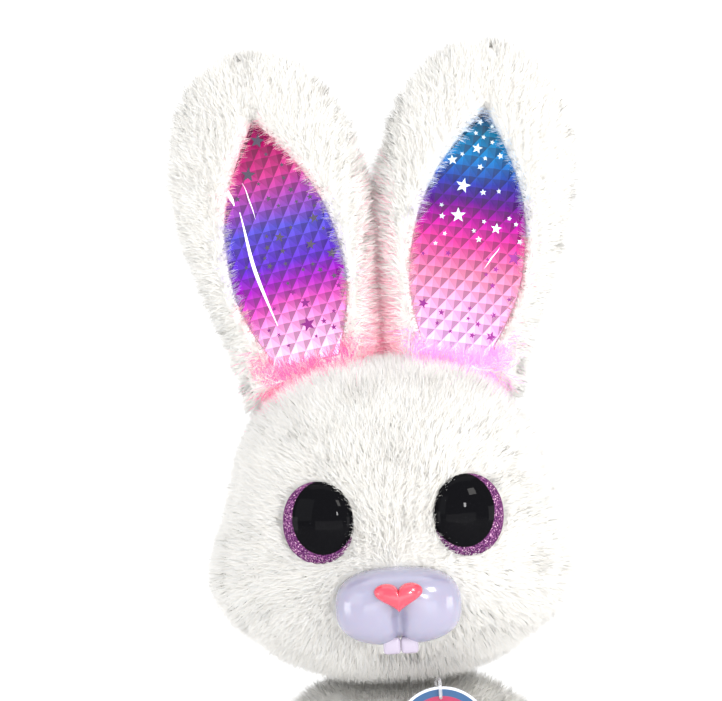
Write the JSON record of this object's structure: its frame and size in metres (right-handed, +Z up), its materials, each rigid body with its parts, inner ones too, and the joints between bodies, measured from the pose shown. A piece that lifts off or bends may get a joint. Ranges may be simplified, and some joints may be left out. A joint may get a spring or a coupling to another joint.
{
  "type": "interactive plush pet",
  "caption": "Sitting white plush rabbit with rocking, light-up ears, a press-in heart nose, a turning head and a hang tag.",
  "frame": {"origin": "middle of the base plate's underside, on the axis that the head turns about", "axes": "+Z up; the pet faces -Y; +X is the pet's own left"},
  "size_m": [0.1578, 0.1699, 0.3534],
  "materials": {
    "white_plush": "matte",
    "polyester_fill": "matte",
    "white_abs": "satin",
    "lilac_gloss_plastic": "gloss",
    "coral_gloss_plastic": "gloss",
    "black_plastic": "satin",
    "glitter_plastic": "gloss",
    "clear_dome": "gloss",
    "clear_film": "gloss",
    "star_diffuser_left": "satin",
    "star_diffuser_right": "satin",
    "circuit_board": "satin",
    "steel": "satin",
    "battery_can": "satin",
    "motor_can": "satin",
    "gear_plastic": "satin",
    "printed_card": "satin",
    "clear_loop": "gloss"
  },
  "bodies": {
    "body": {"base_plate": "white_abs", "body_housing": "white_abs", "battery_1": "battery_can", "battery_2": "battery_can", "battery_3": "battery_can", "battery_contact_left": "steel", "battery_contact_right": "steel", "base_screw_left": "steel", "base_screw_right": "steel", "main_board": "circuit_board", "speaker": "black_plastic", "neck_post": "white_abs", "neck_retainer": "steel", "body_stuffing": "polyester_fill", "body_skin": "white_plush", "left_arm": "white_plush", "right_arm": "white_plush", "left_foot": "white_plush", "right_foot": "white_plush", "tail": "white_plush", "tag_loop": "clear_loop"},
    "battery_cover": {"battery_door": "white_abs", "door_screw": "steel"},
    "switch": {"power_switch": "black_plastic"},
    "tag": {"hang_tag": "printed_card"},
    "head": {"head_shell_front": "white_abs", "head_shell_rear": "white_abs", "head_stuffing": "polyester_fill", "head_skin": "white_plush", "neck_collar": "gear_plastic", "drive_bracket": "white_abs", "ear_motor": "motor_can", "left_eye_iris": "glitter_plastic", "left_eye_lens": "clear_dome", "left_eye_washer": "white_abs", "right_eye_iris": "glitter_plastic", "right_eye_lens": "clear_dome", "right_eye_washer": "white_abs", "muzzle": "lilac_gloss_plastic", "teeth": "lilac_gloss_plastic", "nose_switch": "black_plastic"},
    "nose": {"nose_button": "coral_gloss_plastic"},
    "pinion": {"motor_pinion": "gear_plastic"},
    "left_ear": {"left_ear_shaft": "gear_plastic", "left_ear_tray": "white_abs", "left_ear_led_board": "circuit_board", "left_ear_diffuser": "star_diffuser_left", "left_ear_window": "clear_film", "left_ear_skin": "white_plush"},
    "right_ear": {"right_ear_shaft": "gear_plastic", "right_ear_tray": "white_abs", "right_ear_led_board": "circuit_board", "right_ear_diffuser": "star_diffuser_right", "right_ear_window": "clear_film", "right_ear_skin": "white_plush"}
  },
  "joints": [
    {"name": "neck_turn", "type": "hinge", "parent": "body", "child": "head", "pos_m": [0, 0, 0.12], "axis": [0, 0, 1], "range_deg": [-25, 25]},
    {"name": "left_ear_rock", "type": "hinge", "parent": "head", "child": "left_ear", "pos_m": [0, 0, 0.192], "axis": [1, 0, 0], "range_deg": [-10, 10]},
    {"name": "right_ear_rock", "type": "hinge", "parent": "head", "child": "right_ear", "pos_m": [0, 0, 0.192], "axis": [1, 0, 0], "range_deg": [-10, 10]},
    {"name": "pinion_spin", "type": "hinge", "parent": "head", "child": "pinion", "pos_m": [0, 0, 0.172], "axis": [1, 0, 0], "range_deg": [-30, 30]},
    {"name": "nose_press", "type": "slide", "parent": "head", "child": "nose", "axis": [0, 1, 0], "range_m": [0, 0.002], "stiffness_N_per_m": 800, "springref_m": -0.001},
    {"name": "switch_slide", "type": "slide", "parent": "body", "child": "switch", "axis": [1, 0, 0], "range_m": [0, 0.004]},
    {"name": "battery_cover_off", "type": "slide", "parent": "body", "child": "battery_cover", "axis": [0, 0, -1], "range_m": [0, 0.012]},
    {"name": "tag_swing", "type": "hinge", "parent": "body", "child": "tag", "pos_m": [0.013, -0.05774, 0.108], "axis": [1, 0, 0], "range_deg": [-30, 5]}
  ],
  "couplings": [
    {"joint": "right_ear_rock", "follows": "left_ear_rock", "ratio": 1},
    {"joint": "pinion_spin", "follows": "left_ear_rock", "ratio": -3}
  ]
}
